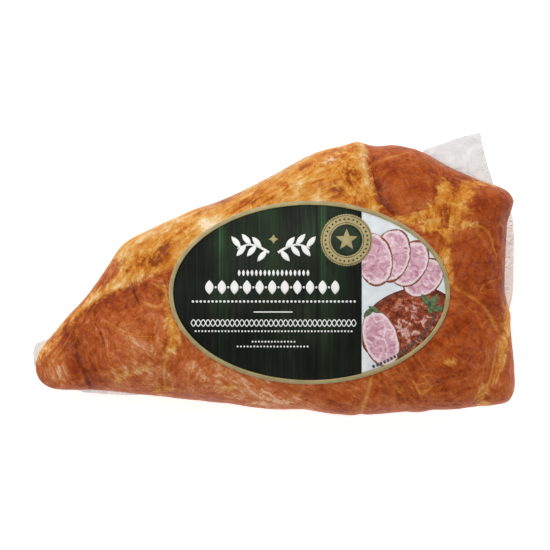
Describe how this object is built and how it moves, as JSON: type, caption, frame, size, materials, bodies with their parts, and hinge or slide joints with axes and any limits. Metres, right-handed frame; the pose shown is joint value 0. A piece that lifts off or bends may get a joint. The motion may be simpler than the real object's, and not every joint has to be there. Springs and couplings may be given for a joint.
{
  "type": "vacuum packed smoked ham",
  "caption": "Wedge-shaped smoked ham drawn tight in clear vacuum film, lying on its broad back with an oval label on its front.",
  "frame": {"origin": "on the flat rest face, below the middle of the pack's length", "axes": "+X along the ham from its narrow end to its thick end, +Y towards the fat cap side, +Z out of the label"},
  "size_m": [0.2609, 0.1529, 0.0887],
  "materials": {
    "ham_in_film": "gloss",
    "label": "satin"
  },
  "bodies": {
    "root": {"ham_in_film": "ham_in_film", "label": "label"}
  },
  "joints": []
}
